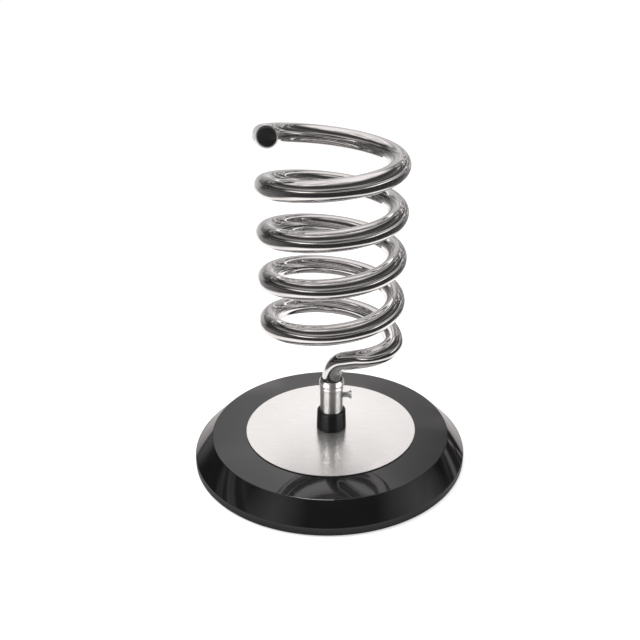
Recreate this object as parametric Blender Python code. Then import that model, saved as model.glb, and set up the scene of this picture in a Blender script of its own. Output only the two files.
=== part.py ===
# Spiral hair dryer stand: a weighted round base, a post socket and a coil of chromed tube.
# Metres, +Z up. The origin is the centre of the base, on the surface it stands on.

from math import atan, ceil, cos, pi, radians, sin, sqrt, tan

import bmesh
import bpy
from mathutils import Matrix, Vector

MM = 0.001

# Clearances
SEAT_GAP = 0.3 * MM
SLIDE_GAP = 0.25 * MM

# Coil of bent tube
TUBE_DIAMETER = 16.0 * MM
TUBE_WALL = 1.0 * MM
COIL_RADIUS = 51.0 * MM
COIL_PITCH = 36.7 * MM
COIL_TURNS = 4.56
COIL_FOOT_ANGLE = radians(-7.1)
COIL_TOP_STRAIGHT = 8.0 * MM
LEAD_IN_RADIUS = 17.4 * MM
RUN_OUT_SLOPE = radians(23.0)
ELBOW_RADIUS = 22.0 * MM
TURN_POINTS = 24
LEAD_IN_POINTS = 12
ELBOW_POINTS = 9
TUBE_SIDES = 12
BORE_SIDES = 8

# Base shell
BASE_DIAMETER = 233.0 * MM
BASE_RIM_HEIGHT = 7.0 * MM
BASE_BEVEL_WIDTH = 15.0 * MM
BASE_BEVEL_HEIGHT = 14.8 * MM
SHELL_WALL = 3.0 * MM
RIM_LIFT = 0.8 * MM
EDGE_ROUND = 0.8 * MM

# Bottom cover, its screws and the feet
FOOT_THICKNESS = 2.3 * MM
FOOT_DIAMETER = 16.0 * MM
FOOT_INSET = 6.0 * MM
COVER_THICKNESS = 1.6 * MM
COVER_MARGIN = 0.5 * MM
FASTENER_COUNT = 4
BOSS_DIAMETER = 9.0 * MM
BOSS_INSET = 0.2 * MM
COVER_SCREW_DIAMETER = 3.0 * MM
COVER_SCREW_LENGTH = 9.0 * MM
COVER_SCREW_HEAD_DIAMETER = 6.0 * MM
COVER_SCREW_HEAD_HEIGHT = 1.4 * MM

# Ballast and the bolt that clamps it
BALLAST_MARGIN = 9.0 * MM
BALLAST_THICKNESS = 12.0 * MM
BALLAST_WEB = 5.0 * MM
BALLAST_POCKET_DIAMETER = 30.0 * MM
BOLT_DIAMETER = 8.0 * MM
BOLT_HEAD_FLATS = 13.0 * MM
BOLT_HEAD_HEIGHT = 5.3 * MM
BOLT_BITE = 8.0 * MM
FLAT_WASHER_DIAMETER = 24.0 * MM
FLAT_WASHER_THICKNESS = 1.6 * MM
LOCK_WASHER_DIAMETER = 14.8 * MM
LOCK_WASHER_THICKNESS = 1.9 * MM
LOCK_WASHER_SLOT = 1.4 * MM

# Trim disc and socket
TRIM_DIAMETER = 146.4 * MM
TRIM_THICKNESS = 0.7 * MM
SOCKET_FOOT_WALL = 2.8 * MM
SOCKET_TOP_WALL = 2.2 * MM
SOCKET_HEIGHT = 17.0 * MM
SOCKET_CHAMFER = 0.9 * MM

# Sleeve, its bush and the anchor plug
SLEEVE_WALL = 1.4 * MM
SLEEVE_HEIGHT = 47.7 * MM
BEAD_HEIGHT = 39.6 * MM
BEAD_WIDTH = 3.0 * MM
BEAD_SWELL = 0.45 * MM
LIP_FLARE = 1.1 * MM
LIP_LAND = 0.35 * MM
LIP_FALL = 3.8 * MM
LIP_BAND = 0.7 * MM
LIP_UNDERCUT = 1.2 * MM
BUSH_WALL = 0.55 * MM
BUSH_LENGTH = 7.0 * MM
BUSH_SINK = 0.7 * MM
ANCHOR_HEIGHT = 10.0 * MM
GLIDE_FLANGE = 2.0 * MM
GLIDE_SPIGOT = 9.0 * MM

# Thumb screw
THUMB_HEIGHT = 31.6 * MM
THUMB_DIAMETER = 5.0 * MM
THUMB_SHANK = 4.8 * MM
THUMB_HEAD_DIAMETER = 8.1 * MM
THUMB_HEAD_LENGTH = 2.6 * MM
THUMB_HEAD_DISH = 0.7 * MM
PAD_DIAMETER = 2.6 * MM
PAD_LENGTH = 2.4 * MM
PAD_STAND_OUT = 0.35 * MM

# End plug
PLUG_INSET = 0.6 * MM
PLUG_RIM = 1.0 * MM
PLUG_DOME = 2.0 * MM
PLUG_SPIGOT = 6.0 * MM

# Steps round a turned piece
FINE = 96
MEDIUM = 48
SMALL = 24

# Heights and radii that follow from the sizes above
RIM_RADIUS = BASE_DIAMETER / 2
FLAT_RADIUS = RIM_RADIUS - BASE_BEVEL_WIDTH
COVER_RADIUS = RIM_RADIUS - SHELL_WALL - COVER_MARGIN
FOOT_CIRCLE_RADIUS = COVER_RADIUS - FOOT_INSET - FOOT_DIAMETER / 2
BOSS_CIRCLE_RADIUS = FLAT_RADIUS - BOSS_INSET - BOSS_DIAMETER / 2
BALLAST_RADIUS = BOSS_CIRCLE_RADIUS - BOSS_DIAMETER / 2 - BALLAST_MARGIN
COVER_Z = FOOT_THICKNESS + SEAT_GAP
COVER_TOP_Z = COVER_Z + COVER_THICKNESS
RIM_TOP_Z = RIM_LIFT + BASE_RIM_HEIGHT
BASE_TOP_Z = RIM_TOP_Z + BASE_BEVEL_HEIGHT
SHELL_CEILING_Z = BASE_TOP_Z - SHELL_WALL
BALLAST_TOP_Z = SHELL_CEILING_Z - SEAT_GAP
BALLAST_Z = BALLAST_TOP_Z - BALLAST_THICKNESS
POCKET_Z = BALLAST_TOP_Z - BALLAST_WEB
FLAT_WASHER_Z = POCKET_Z - SEAT_GAP - FLAT_WASHER_THICKNESS
LOCK_WASHER_Z = FLAT_WASHER_Z - SEAT_GAP - LOCK_WASHER_THICKNESS
BOLT_SEAT_Z = LOCK_WASHER_Z - SEAT_GAP
BOLT_RADIUS = BOLT_DIAMETER / 2
BOLT_HOLE_RADIUS = BOLT_RADIUS + SEAT_GAP
TRIM_Z = BASE_TOP_Z + SEAT_GAP
SOCKET_Z = TRIM_Z + TRIM_THICKNESS + SEAT_GAP
TUBE_RADIUS = TUBE_DIAMETER / 2
BORE_RADIUS = TUBE_RADIUS - TUBE_WALL
BORE_FLAT_RADIUS = BORE_RADIUS * cos(pi / BORE_SIDES)
SLEEVE_BORE_RADIUS = TUBE_RADIUS + SEAT_GAP
SLEEVE_RADIUS = SLEEVE_BORE_RADIUS + SLEEVE_WALL
SLEEVE_Z = BASE_TOP_Z + SEAT_GAP
SLEEVE_TOP_Z = SLEEVE_Z + SLEEVE_HEIGHT
BUSH_BORE_RADIUS = TUBE_RADIUS + SLIDE_GAP
BUSH_RADIUS = BUSH_BORE_RADIUS + BUSH_WALL
BUSH_SEAT_RADIUS = BUSH_RADIUS + SLIDE_GAP
BUSH_TOP_Z = SLEEVE_TOP_Z - BUSH_SINK
BUSH_Z = BUSH_TOP_Z - BUSH_LENGTH
ANCHOR_TOP_Z = SLEEVE_Z + ANCHOR_HEIGHT
GLIDE_Z = ANCHOR_TOP_Z + SEAT_GAP
STEM_Z = GLIDE_Z + GLIDE_FLANGE + SEAT_GAP
THUMB_Z = SLEEVE_Z + THUMB_HEIGHT
PAD_TIP_X = TUBE_RADIUS + SLIDE_GAP
THUMB_TIP_X = PAD_TIP_X + PAD_STAND_OUT
THUMB_HEAD_X = SLEEVE_RADIUS + THUMB_SHANK


def clear_scene():
    for old in list(bpy.data.objects):
        bpy.data.objects.remove(old, do_unlink=True)


def make_material(name, colour, roughness, metallic):
    material = bpy.data.materials.new(name)
    material.use_nodes = True
    shader = material.node_tree.nodes["Principled BSDF"]
    shader.inputs["Base Color"].default_value = (*colour, 1.0)
    shader.inputs["Roughness"].default_value = roughness
    shader.inputs["Metallic"].default_value = metallic
    return material


def add_object(name, bm, material):
    """One object from a finished bmesh, smooth where it is round."""
    bmesh.ops.remove_doubles(bm, verts=bm.verts, dist=0.001 * MM)
    bmesh.ops.recalc_face_normals(bm, faces=bm.faces)
    mesh = bpy.data.meshes.new(name)
    bm.to_mesh(mesh)
    bm.free()
    mesh.shade_smooth()
    mesh.set_sharp_from_angle(angle=radians(35))
    thing = bpy.data.objects.new(name, mesh)
    if material:
        mesh.materials.append(material)
    bpy.context.collection.objects.link(thing)
    return thing


def turned(name, profile, steps, material):
    """A profile of (radius, height) points spun about Z. It closes on itself or on the axis."""
    bm = bmesh.new()
    points = [bm.verts.new((radius, 0, height)) for radius, height in profile]
    edges = [bm.edges.new(pair) for pair in zip(points, points[1:])]
    if profile[0][0] > 0:
        edges.append(bm.edges.new((points[-1], points[0])))
    bmesh.ops.spin(
        bm, geom=points + edges, cent=(0, 0, 0), axis=(0, 0, 1),
        angle=2 * pi, steps=steps, use_merge=True)
    return add_object(name, bm, material)


def ring(name, inner, outer, bottom, top, steps, material):
    profile = [(outer, top), (outer, bottom), (inner, bottom), (inner, top)]
    return turned(name, profile, steps, material)


def prism(name, radius, bottom, top, sides, material=None, spots=((0, 0),)):
    """Upright prisms, one at each spot."""
    bm = bmesh.new()
    for x, y in spots:
        place = Matrix.Translation((x, y, (bottom + top) / 2))
        bmesh.ops.create_cone(
            bm, cap_ends=True, segments=sides, radius1=radius, radius2=radius,
            depth=top - bottom, matrix=place)
    return add_object(name, bm, material)


def combine(thing, other, operation):
    """Cut or join another object, which stays in the scene as a wire guide."""
    other.hide_render = True
    other.display_type = "WIRE"
    modifier = thing.modifiers.new(other.name, "BOOLEAN")
    modifier.operation = operation
    modifier.object = other
    modifier.solver = "EXACT"


def round_spots(radius, count, first_angle):
    angles = [first_angle + 2 * pi * index / count for index in range(count)]
    return [(radius * cos(angle), radius * sin(angle)) for angle in angles]


def swept_tube(name, points, radius, sides, material=None):
    """A closed tube along a line of points, its rings carried along without twist."""
    bm = bmesh.new()
    headings = []
    for index in range(len(points)):
        before = points[max(index - 1, 0)]
        after = points[min(index + 1, len(points) - 1)]
        headings.append((after - before).normalized())
    side = headings[0].orthogonal().normalized()
    rings = []
    for point, heading in zip(points, headings):
        side = (side - heading * side.dot(heading)).normalized()
        across = heading.cross(side)
        circle = []
        for step in range(sides):
            turn = 2 * pi * step / sides
            circle.append(bm.verts.new(point + radius * (cos(turn) * side + sin(turn) * across)))
        rings.append(circle)
    for low, high in zip(rings, rings[1:]):
        for step in range(sides):
            following = (step + 1) % sides
            bm.faces.new((low[step], low[following], high[following], high[step]))
    bm.faces.new(rings[0])
    bm.faces.new(rings[-1])
    return add_object(name, bm, material)


def spaced(first, last, count):
    return [first + (last - first) * index / count for index in range(count + 1)]


def coil_centreline():
    """Centre of the tube from the foot of the stem to the top end of the coil."""
    line = [Vector((0, 0, STEM_Z))]

    # Where the lead-in arc starts on the coil, its centre, and where it leaves for the axis
    foot = COIL_FOOT_ANGLE
    centre_reach = COIL_RADIUS - LEAD_IN_RADIUS
    centre = Vector((centre_reach * cos(foot), centre_reach * sin(foot), 0))
    run_length = sqrt(centre_reach ** 2 - LEAD_IN_RADIUS ** 2)
    leave = foot + pi + atan(run_length / LEAD_IN_RADIUS)
    touch = centre + LEAD_IN_RADIUS * Vector((cos(leave), sin(leave), 0))
    outward = touch.normalized()

    # Elbow from the upright stem to the sloping run
    elbow_z = SLEEVE_TOP_Z + SEAT_GAP
    for angle in spaced(0, pi / 2 - RUN_OUT_SLOPE, ELBOW_POINTS):
        reach = ELBOW_RADIUS * (1 - cos(angle))
        rise = ELBOW_RADIUS * sin(angle)
        line.append(outward * reach + Vector((0, 0, elbow_z + rise)))

    # Straight run out to the arc, reached by the arc's first point
    tangent_length = ELBOW_RADIUS * tan((pi / 2 - RUN_OUT_SLOPE) / 2)
    arc_z = elbow_z + tangent_length + run_length * tan(RUN_OUT_SLOPE)

    # Lead-in arc, whose slope eases to the slope of the coil
    coil_slope = COIL_PITCH / (2 * pi * COIL_RADIUS)
    arc_angle = (foot - leave) % (2 * pi)
    arc_length = LEAD_IN_RADIUS * arc_angle
    slope_loss = tan(RUN_OUT_SLOPE) - coil_slope
    for share in spaced(0, 1, LEAD_IN_POINTS):
        angle = leave + arc_angle * share
        height = arc_z + arc_length * share * (tan(RUN_OUT_SLOPE) - slope_loss * share / 2)
        spoke = Vector((cos(angle), sin(angle), 0))
        line.append(centre + LEAD_IN_RADIUS * spoke + Vector((0, 0, height)))

    # Coil
    coil_z = line[-1].z
    for turn in spaced(0, COIL_TURNS, ceil(COIL_TURNS * TURN_POINTS))[1:]:
        angle = foot + 2 * pi * turn
        line.append(Vector((
            COIL_RADIUS * cos(angle), COIL_RADIUS * sin(angle), coil_z + COIL_PITCH * turn)))

    # Straight end that takes the plug
    angle = foot + 2 * pi * COIL_TURNS
    heading = Vector((-sin(angle), cos(angle), coil_slope)).normalized()
    line.append(line[-1] + COIL_TOP_STRAIGHT * heading)
    return line


def least_gap(points):
    """Least gap between stretches of the tube that aren't neighbours along it."""
    reach = 3 * TUBE_DIAMETER
    travel = [0.0]
    for before, after in zip(points, points[1:]):
        travel.append(travel[-1] + (after - before).length)
    gaps = [
        (points[first] - points[second]).length - TUBE_DIAMETER
        for first in range(len(points))
        for second in range(first + 1, len(points))
        if travel[second] - travel[first] > reach]
    return min(gaps)


def base_shell(material):
    """Moulded shell: rim, bevel and flat top, open below, with a boss for each cover screw."""
    rim = RIM_RADIUS
    flat = FLAT_RADIUS
    slope = atan(BASE_BEVEL_HEIGHT / (rim - flat))
    inside_rim = rim - SHELL_WALL
    inside_rim_z = RIM_TOP_Z - SHELL_WALL * tan((pi / 2 - slope) / 2)
    inside_flat = flat - SHELL_WALL * tan(slope / 2)
    profile = [
        (BOLT_HOLE_RADIUS, BASE_TOP_Z),
        (flat - EDGE_ROUND, BASE_TOP_Z),
        (flat + EDGE_ROUND * cos(slope), BASE_TOP_Z - EDGE_ROUND * sin(slope)),
        (rim - EDGE_ROUND * cos(slope), RIM_TOP_Z + EDGE_ROUND * sin(slope)),
        (rim, RIM_TOP_Z - EDGE_ROUND),
        (rim, RIM_LIFT + EDGE_ROUND),
        (rim - EDGE_ROUND, RIM_LIFT),
        (inside_rim, RIM_LIFT),
        (inside_rim, inside_rim_z),
        (inside_flat, SHELL_CEILING_Z),
        (BOLT_HOLE_RADIUS, SHELL_CEILING_Z)]
    shell = turned("base_shell", profile, FINE, material)
    spots = round_spots(BOSS_CIRCLE_RADIUS, FASTENER_COUNT, 0)
    boss_z = COVER_TOP_Z + SEAT_GAP
    boss_top = BASE_TOP_Z - SHELL_WALL / 2
    bosses = prism("boss_guide", BOSS_DIAMETER / 2, boss_z, boss_top, SMALL, None, spots)
    combine(shell, bosses, "UNION")
    hole_top = COVER_Z + COVER_SCREW_LENGTH + SEAT_GAP
    hole_radius = COVER_SCREW_DIAMETER / 2 + SEAT_GAP
    holes = prism("boss_hole_guide", hole_radius, RIM_LIFT, hole_top, SMALL, None, spots)
    combine(shell, holes, "DIFFERENCE")


def bottom_cover(material):
    cover = prism("bottom_cover", COVER_RADIUS, COVER_Z, COVER_TOP_Z, FINE, material)
    spots = round_spots(BOSS_CIRCLE_RADIUS, FASTENER_COUNT, 0)
    hole_radius = COVER_SCREW_DIAMETER / 2 + SEAT_GAP
    holes = prism("cover_hole_guide", hole_radius, 0, BASE_TOP_Z, SMALL, None, spots)
    combine(cover, holes, "DIFFERENCE")


def cover_screws(material):
    """Pan head screws, point up, with a hex recess in the head."""
    seat = COVER_Z - SEAT_GAP
    head = COVER_SCREW_HEAD_DIAMETER / 2
    shank = COVER_SCREW_DIAMETER / 2
    crown = COVER_SCREW_HEAD_HEIGHT
    tip = COVER_Z + COVER_SCREW_LENGTH
    profile = [
        (0, tip),
        (shank * 0.4, tip),
        (shank, tip - 1.5 * shank),
        (shank, seat),
        (head, seat),
        (head, seat - crown * 0.5),
        (head * 0.75, seat - crown),
        (head * 0.35, seat - crown),
        (head * 0.35, seat - crown * 0.4),
        (0, seat - crown * 0.4)]
    for index, (x, y) in enumerate(round_spots(BOSS_CIRCLE_RADIUS, FASTENER_COUNT, 0), 1):
        screw = turned(f"cover_screw_{index}", profile, 12, material)
        screw.location = (x, y, 0)


def rubber_feet(material):
    """Pads stuck under the cover, midway between its screws."""
    radius = FOOT_DIAMETER / 2
    round_off = FOOT_THICKNESS / 4
    profile = [
        (0, FOOT_THICKNESS),
        (radius, FOOT_THICKNESS),
        (radius, round_off),
        (radius - round_off, 0),
        (0, 0)]
    spots = round_spots(FOOT_CIRCLE_RADIUS, FASTENER_COUNT, pi / FASTENER_COUNT)
    for index, (x, y) in enumerate(spots, 1):
        foot = turned(f"rubber_foot_{index}", profile, SMALL, material)
        foot.location = (x, y, 0)


def ballast_disc(material):
    """Cast disc with a pocket below for the bolt head and its washers."""
    outer = BALLAST_RADIUS
    pocket = BALLAST_POCKET_DIAMETER / 2
    chamfer = 1.0 * MM
    profile = [
        (BOLT_HOLE_RADIUS, BALLAST_TOP_Z),
        (outer - chamfer, BALLAST_TOP_Z),
        (outer, BALLAST_TOP_Z - chamfer),
        (outer, BALLAST_Z + chamfer),
        (outer - chamfer, BALLAST_Z),
        (pocket, BALLAST_Z),
        (pocket, POCKET_Z),
        (BOLT_HOLE_RADIUS, POCKET_Z)]
    turned("ballast_disc", profile, MEDIUM, material)


def centre_bolt(material):
    """Hex bolt from below, through the washers, ballast and shell into the anchor plug."""
    head_radius = BOLT_HEAD_FLATS / 2 / cos(pi / 6)
    head_z = BOLT_SEAT_Z - BOLT_HEAD_HEIGHT
    top = SLEEVE_Z + BOLT_BITE
    bolt = prism("centre_bolt", head_radius, head_z, BOLT_SEAT_Z, 6, material)
    overlap = BOLT_HEAD_HEIGHT / 2
    shank = prism("bolt_shank_guide", BOLT_RADIUS, BOLT_SEAT_Z - overlap, top, SMALL)
    combine(bolt, shank, "UNION")


def washers(flat_material, lock_material):
    flat_top = FLAT_WASHER_Z + FLAT_WASHER_THICKNESS
    ring("flat_washer", BOLT_HOLE_RADIUS, FLAT_WASHER_DIAMETER / 2, FLAT_WASHER_Z, flat_top,
         MEDIUM, flat_material)
    lock_top = LOCK_WASHER_Z + LOCK_WASHER_THICKNESS
    lock_radius = LOCK_WASHER_DIAMETER / 2
    lock = ring("lock_washer", BOLT_HOLE_RADIUS, lock_radius, LOCK_WASHER_Z, lock_top,
                MEDIUM, lock_material)
    bm = bmesh.new()
    slot_place = Matrix.Translation((lock_radius, 0, (LOCK_WASHER_Z + lock_top) / 2))
    slot_size = Matrix.Diagonal((lock_radius, LOCK_WASHER_SLOT, 2 * LOCK_WASHER_THICKNESS, 1))
    bmesh.ops.create_cube(bm, size=1, matrix=slot_place @ slot_size)
    combine(lock, add_object("lock_slot_guide", bm, None), "DIFFERENCE")


def trim_disc(material):
    hole = SLEEVE_RADIUS + SEAT_GAP
    ring("trim_disc", hole, TRIM_DIAMETER / 2, TRIM_Z, TRIM_Z + TRIM_THICKNESS, FINE, material)


def socket(material):
    """Black skirt pushed over the foot of the sleeve."""
    bore = SLEEVE_RADIUS + SEAT_GAP
    foot = bore + SOCKET_FOOT_WALL
    top = bore + SOCKET_TOP_WALL
    top_z = SOCKET_Z + SOCKET_HEIGHT
    foot_round = 0.6 * MM
    profile = [
        (bore, top_z),
        (top - SOCKET_CHAMFER, top_z),
        (top, top_z - SOCKET_CHAMFER),
        (foot, SOCKET_Z + foot_round * 2),
        (foot - foot_round, SOCKET_Z),
        (bore, SOCKET_Z)]
    turned("socket", profile, MEDIUM, material)


def sleeve(material):
    """Steel tube with a rolled bead, a flared lip, and a cross hole for the thumb screw."""
    bead_z = SLEEVE_Z + BEAD_HEIGHT
    swell = SLEEVE_RADIUS + BEAD_SWELL
    lip = SLEEVE_RADIUS + LIP_FLARE
    land = BUSH_SEAT_RADIUS + LIP_LAND
    band_z = SLEEVE_TOP_Z - LIP_FALL
    bush_seat_z = BUSH_Z - SEAT_GAP
    profile = [
        (SLEEVE_BORE_RADIUS, SLEEVE_Z),
        (SLEEVE_BORE_RADIUS, bush_seat_z),
        (BUSH_SEAT_RADIUS, bush_seat_z),
        (BUSH_SEAT_RADIUS, SLEEVE_TOP_Z),
        (land, SLEEVE_TOP_Z),
        (land + (lip - land) * 0.7, SLEEVE_TOP_Z - LIP_FALL * 0.4),
        (lip, band_z),
        (lip, band_z - LIP_BAND),
        (SLEEVE_RADIUS, band_z - LIP_BAND - LIP_UNDERCUT),
        (SLEEVE_RADIUS, bead_z + BEAD_WIDTH / 2),
        (swell, bead_z + BEAD_WIDTH / 4),
        (swell, bead_z - BEAD_WIDTH / 4),
        (SLEEVE_RADIUS, bead_z - BEAD_WIDTH / 2),
        (SLEEVE_RADIUS, SLEEVE_Z)]
    tube = turned("sleeve", profile, MEDIUM, material)
    hole = prism("cross_hole_guide", THUMB_DIAMETER / 2 + SEAT_GAP, 0, SLEEVE_RADIUS * 2, SMALL)
    hole.location.z = THUMB_Z
    hole.rotation_euler.y = pi / 2
    combine(tube, hole, "DIFFERENCE")


def sleeve_bush(material):
    ring("sleeve_bush", BUSH_BORE_RADIUS, BUSH_RADIUS, BUSH_Z, BUSH_TOP_Z, MEDIUM, material)


def anchor_plug(material):
    """Tapped plug in the foot of the sleeve, which the centre bolt pulls down."""
    outer = SLEEVE_BORE_RADIUS - SEAT_GAP
    ring("anchor_plug", BOLT_HOLE_RADIUS, outer, SLEEVE_Z, ANCHOR_TOP_Z, MEDIUM, material)


def stem_glide(material):
    """Nylon foot in the open end of the stem, which slides in the sleeve."""
    flange = TUBE_RADIUS
    spigot = BORE_FLAT_RADIUS - SLIDE_GAP
    flange_top = GLIDE_Z + GLIDE_FLANGE
    profile = [
        (0, flange_top + GLIDE_SPIGOT),
        (spigot, flange_top + GLIDE_SPIGOT),
        (spigot, flange_top),
        (flange, flange_top),
        (flange, GLIDE_Z),
        (0, GLIDE_Z)]
    turned("stem_glide", profile, MEDIUM, material)


def screw_pad(material):
    """Nylon tip that the thumb screw presses on the stem, turned about its own axis."""
    profile = [
        (0, PAD_LENGTH),
        (PAD_DIAMETER / 2, PAD_LENGTH),
        (PAD_DIAMETER / 2, 0),
        (0, 0)]
    pad = turned("screw_pad", profile, SMALL, material)
    pad.location = (PAD_TIP_X, 0, THUMB_Z)
    pad.rotation_euler.y = pi / 2


def thumb_screw(material):
    """Screw with a trumpet head and a pocket in its point for the pad."""
    pocket = PAD_DIAMETER / 2 + SEAT_GAP
    pocket_depth = PAD_LENGTH - PAD_STAND_OUT + SEAT_GAP
    shank = THUMB_DIAMETER / 2
    head = THUMB_HEAD_DIAMETER / 2
    head_start = THUMB_HEAD_X - THUMB_TIP_X
    head_end = head_start + THUMB_HEAD_LENGTH
    profile = [
        (0, head_end - THUMB_HEAD_DISH),
        (head * 0.5, head_end - THUMB_HEAD_DISH),
        (head * 0.85, head_end),
        (head, head_end - THUMB_HEAD_LENGTH * 0.15),
        (head * 0.8, head_end - THUMB_HEAD_LENGTH * 0.45),
        (shank, head_start),
        (shank, 0),
        (pocket, 0),
        (pocket, pocket_depth),
        (0, pocket_depth)]
    screw = turned("thumb_screw", profile, SMALL, material)
    screw.location = (THUMB_TIP_X, 0, THUMB_Z)
    screw.rotation_euler.y = pi / 2


def coil_tube(line, material):
    """Bent steel tube, stem and coil in one, with its bore right through."""
    tube = swept_tube("coil_tube", line, TUBE_RADIUS, TUBE_SIDES, material)
    past_foot = line[0] + (line[0] - line[1]).normalized() * MM
    past_top = line[-1] + (line[-1] - line[-2]).normalized() * MM
    bore_line = [past_foot, *line[1:-1], past_top]
    bore = swept_tube("bore_guide", bore_line, BORE_RADIUS, BORE_SIDES)
    combine(tube, bore, "DIFFERENCE")


def end_plug(line, material):
    """Domed plug pressed in the top end of the coil."""
    flange = TUBE_RADIUS - PLUG_INSET
    spigot = BORE_FLAT_RADIUS - SLIDE_GAP
    profile = [
        (0, PLUG_RIM + PLUG_DOME),
        (flange * 0.45, PLUG_RIM + PLUG_DOME * 0.85),
        (flange * 0.8, PLUG_RIM + PLUG_DOME * 0.45),
        (flange, PLUG_RIM),
        (flange, 0),
        (spigot, 0),
        (spigot, -PLUG_SPIGOT),
        (0, -PLUG_SPIGOT)]
    plug = turned("end_plug", profile, SMALL, material)
    heading = (line[-1] - line[-2]).normalized()
    plug.location = line[-1] + heading * SEAT_GAP
    plug.rotation_euler = heading.to_track_quat("Z", "Y").to_euler()


clear_scene()
gloss_black = make_material("gloss_black", (0.012, 0.012, 0.013), 0.08, 0.0)
satin_black = make_material("satin_black", (0.018, 0.018, 0.019), 0.35, 0.0)
rubber_black = make_material("rubber_black", (0.02, 0.02, 0.02), 0.8, 0.0)
nylon_black = make_material("nylon_black", (0.015, 0.015, 0.016), 0.45, 0.0)
nylon_white = make_material("nylon_white", (0.75, 0.74, 0.7), 0.5, 0.0)
chrome = make_material("chrome", (0.78, 0.78, 0.79), 0.04, 1.0)
satin_steel = make_material("satin_steel", (0.62, 0.61, 0.59), 0.28, 1.0)
brushed_steel = make_material("brushed_steel", (0.66, 0.64, 0.62), 0.32, 1.0)
zinc_steel = make_material("zinc_steel", (0.55, 0.56, 0.57), 0.35, 1.0)
cast_iron = make_material("cast_iron", (0.09, 0.09, 0.095), 0.7, 0.8)

base_shell(gloss_black)
bottom_cover(satin_black)
cover_screws(zinc_steel)
rubber_feet(rubber_black)
ballast_disc(cast_iron)
centre_bolt(zinc_steel)
washers(zinc_steel, zinc_steel)
trim_disc(brushed_steel)
socket(satin_black)
sleeve(satin_steel)
sleeve_bush(nylon_black)
anchor_plug(zinc_steel)
stem_glide(nylon_black)
screw_pad(nylon_white)
thumb_screw(chrome)
centreline = coil_centreline()
coil_tube(centreline, chrome)
end_plug(centreline, satin_black)
print(f"Least gap of the coil to itself: {least_gap(centreline) / MM:.1f} mm")
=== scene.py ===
from math import atan, ceil, cos, pi, radians, sin, sqrt, tan

import bmesh
import bpy
from mathutils import Matrix, Vector


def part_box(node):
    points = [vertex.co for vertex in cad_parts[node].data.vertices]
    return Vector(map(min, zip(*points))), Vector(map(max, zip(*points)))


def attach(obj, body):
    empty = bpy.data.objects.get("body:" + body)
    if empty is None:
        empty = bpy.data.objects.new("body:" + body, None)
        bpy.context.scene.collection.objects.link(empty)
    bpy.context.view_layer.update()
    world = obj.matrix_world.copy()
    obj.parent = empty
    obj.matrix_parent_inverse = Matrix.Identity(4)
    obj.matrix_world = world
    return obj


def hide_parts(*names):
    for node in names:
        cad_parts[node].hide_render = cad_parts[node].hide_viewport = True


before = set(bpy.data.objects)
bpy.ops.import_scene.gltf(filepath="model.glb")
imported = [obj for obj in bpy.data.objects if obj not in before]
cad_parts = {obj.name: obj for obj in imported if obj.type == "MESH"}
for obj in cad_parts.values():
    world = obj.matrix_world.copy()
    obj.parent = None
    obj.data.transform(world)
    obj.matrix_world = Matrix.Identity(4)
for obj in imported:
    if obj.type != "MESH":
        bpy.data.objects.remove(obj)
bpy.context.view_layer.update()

# The viewpoint of a close product photograph: a little above the top of the coil, looking
# down at the stand from the front. The picture is slightly rolled and cropped off centre.
MM = 0.001
SENSOR_WIDTH = 36.0
LENS = 41.215
FRAME_SHIFT = -0.09375
CAMERA_PLACE = Vector((-27.6, -548.3, 371.2)) * MM
CAMERA_YAW = radians(-7.0)
CAMERA_PITCH = radians(24.09)
CAMERA_ROLL = radians(1.98)

camera_data = bpy.data.cameras.new("front_camera")
camera_data.sensor_width = SENSOR_WIDTH
camera_data.lens = LENS
camera_data.shift_x = FRAME_SHIFT
camera = bpy.data.objects.new("front_camera", camera_data)
camera.matrix_world = (
    Matrix.Translation(CAMERA_PLACE) @ Matrix.Rotation(CAMERA_YAW, 4, "Z")
    @ Matrix.Rotation(pi / 2 - CAMERA_PITCH, 4, "X") @ Matrix.Rotation(CAMERA_ROLL, 4, "Z"))
bpy.context.collection.objects.link(camera)
bpy.context.scene.camera = camera


# The base is one deep moulding in gloss black plastic: an upright rim, a wide bevel and
# a flat top, hollow below. Its edges are softly rounded and its skin is polished. Four
# bosses inside it take the screws of the cover.
RIM_RADIUS = 116.5 * MM
FLAT_RADIUS = 101.5 * MM
RIM_TOP = 7.8 * MM
RIM_FOOT = 0.8 * MM
BASE_TOP = 22.6 * MM
SHELL_WALL = 3.0 * MM
SHELL_HOLE = 4.3 * MM
TOP_EDGE_ROUND = 1.1 * MM
LOW_EDGE_ROUND = 1.0 * MM
INSIDE_ROUND = 0.5 * MM
SHELL_STEPS = 256
BOSS_CIRCLE = 96.8 * MM
BOSS_RADIUS = 4.5 * MM
BOSS_HOLE = 1.8 * MM
BOSS_FOOT = 4.5 * MM
BOSS_EDGE_ROUND = 0.4 * MM
BOSS_HOLE_ROUND = 0.3 * MM
BOSS_STEPS = 32
FILLET_STEPS = 6
SAME_SPOT = 0.0005 * MM
SHARP_EDGE = radians(32)
NOISE_LOW = 0.3
NOISE_HIGH = 0.7
GLOSS_BLACK = (0.0065, 0.0064, 0.0065)
GLOSS_BLACK_SHADES = ((0.0055, 0.0054, 0.0055), (0.0075, 0.0074, 0.0075))
GLOSS_IOR = 1.66


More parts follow.
